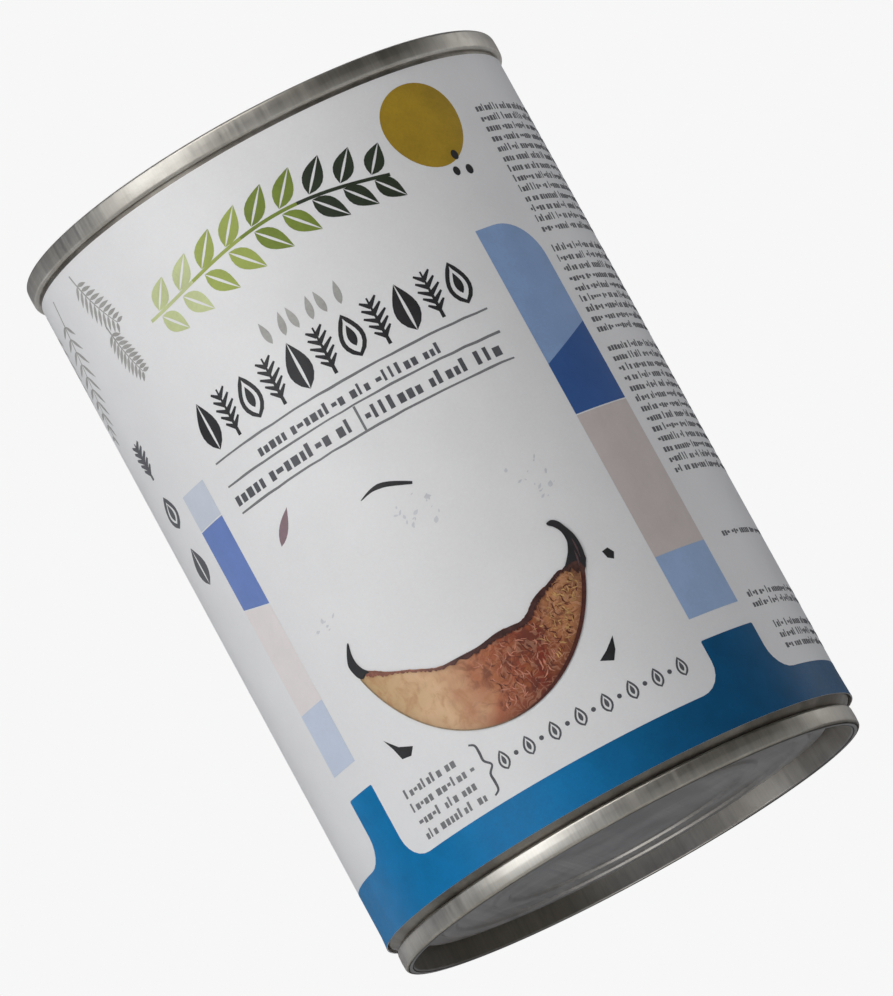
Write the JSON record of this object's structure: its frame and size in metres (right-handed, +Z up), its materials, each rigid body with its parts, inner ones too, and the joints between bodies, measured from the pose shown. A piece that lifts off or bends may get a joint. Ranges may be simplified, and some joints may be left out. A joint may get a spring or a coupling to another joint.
{
  "type": "coconut cream can",
  "caption": "Upright round tinplate food can, shut and full, with seamed ends, a necked-in foot and a wrapped paper label in white and blue.",
  "frame": {"origin": "middle of the foot, on the plane of the bottom seam's crest, where the can stands", "axes": "+Z up the can's axis from the foot to the head; the front of the label faces -Y; +X to the right of someone who faces the front"},
  "size_m": [0.075, 0.075, 0.111],
  "materials": {
    "tinplate_wall": "bright tinplate with fine mill lines",
    "tinplate_foot_end": "dull tinplate with fine mill lines",
    "tinplate_head_end": "bright tinplate with fine mill lines",
    "label_paper": "white coated paper, slightly glossy, printed in blue, brown, green and grey"
  },
  "bodies": {
    "root": {"can_body": "tinplate_wall", "bottom_end": "tinplate_foot_end", "top_end": "tinplate_head_end", "paper_label": "label_paper"}
  },
  "joints": []
}
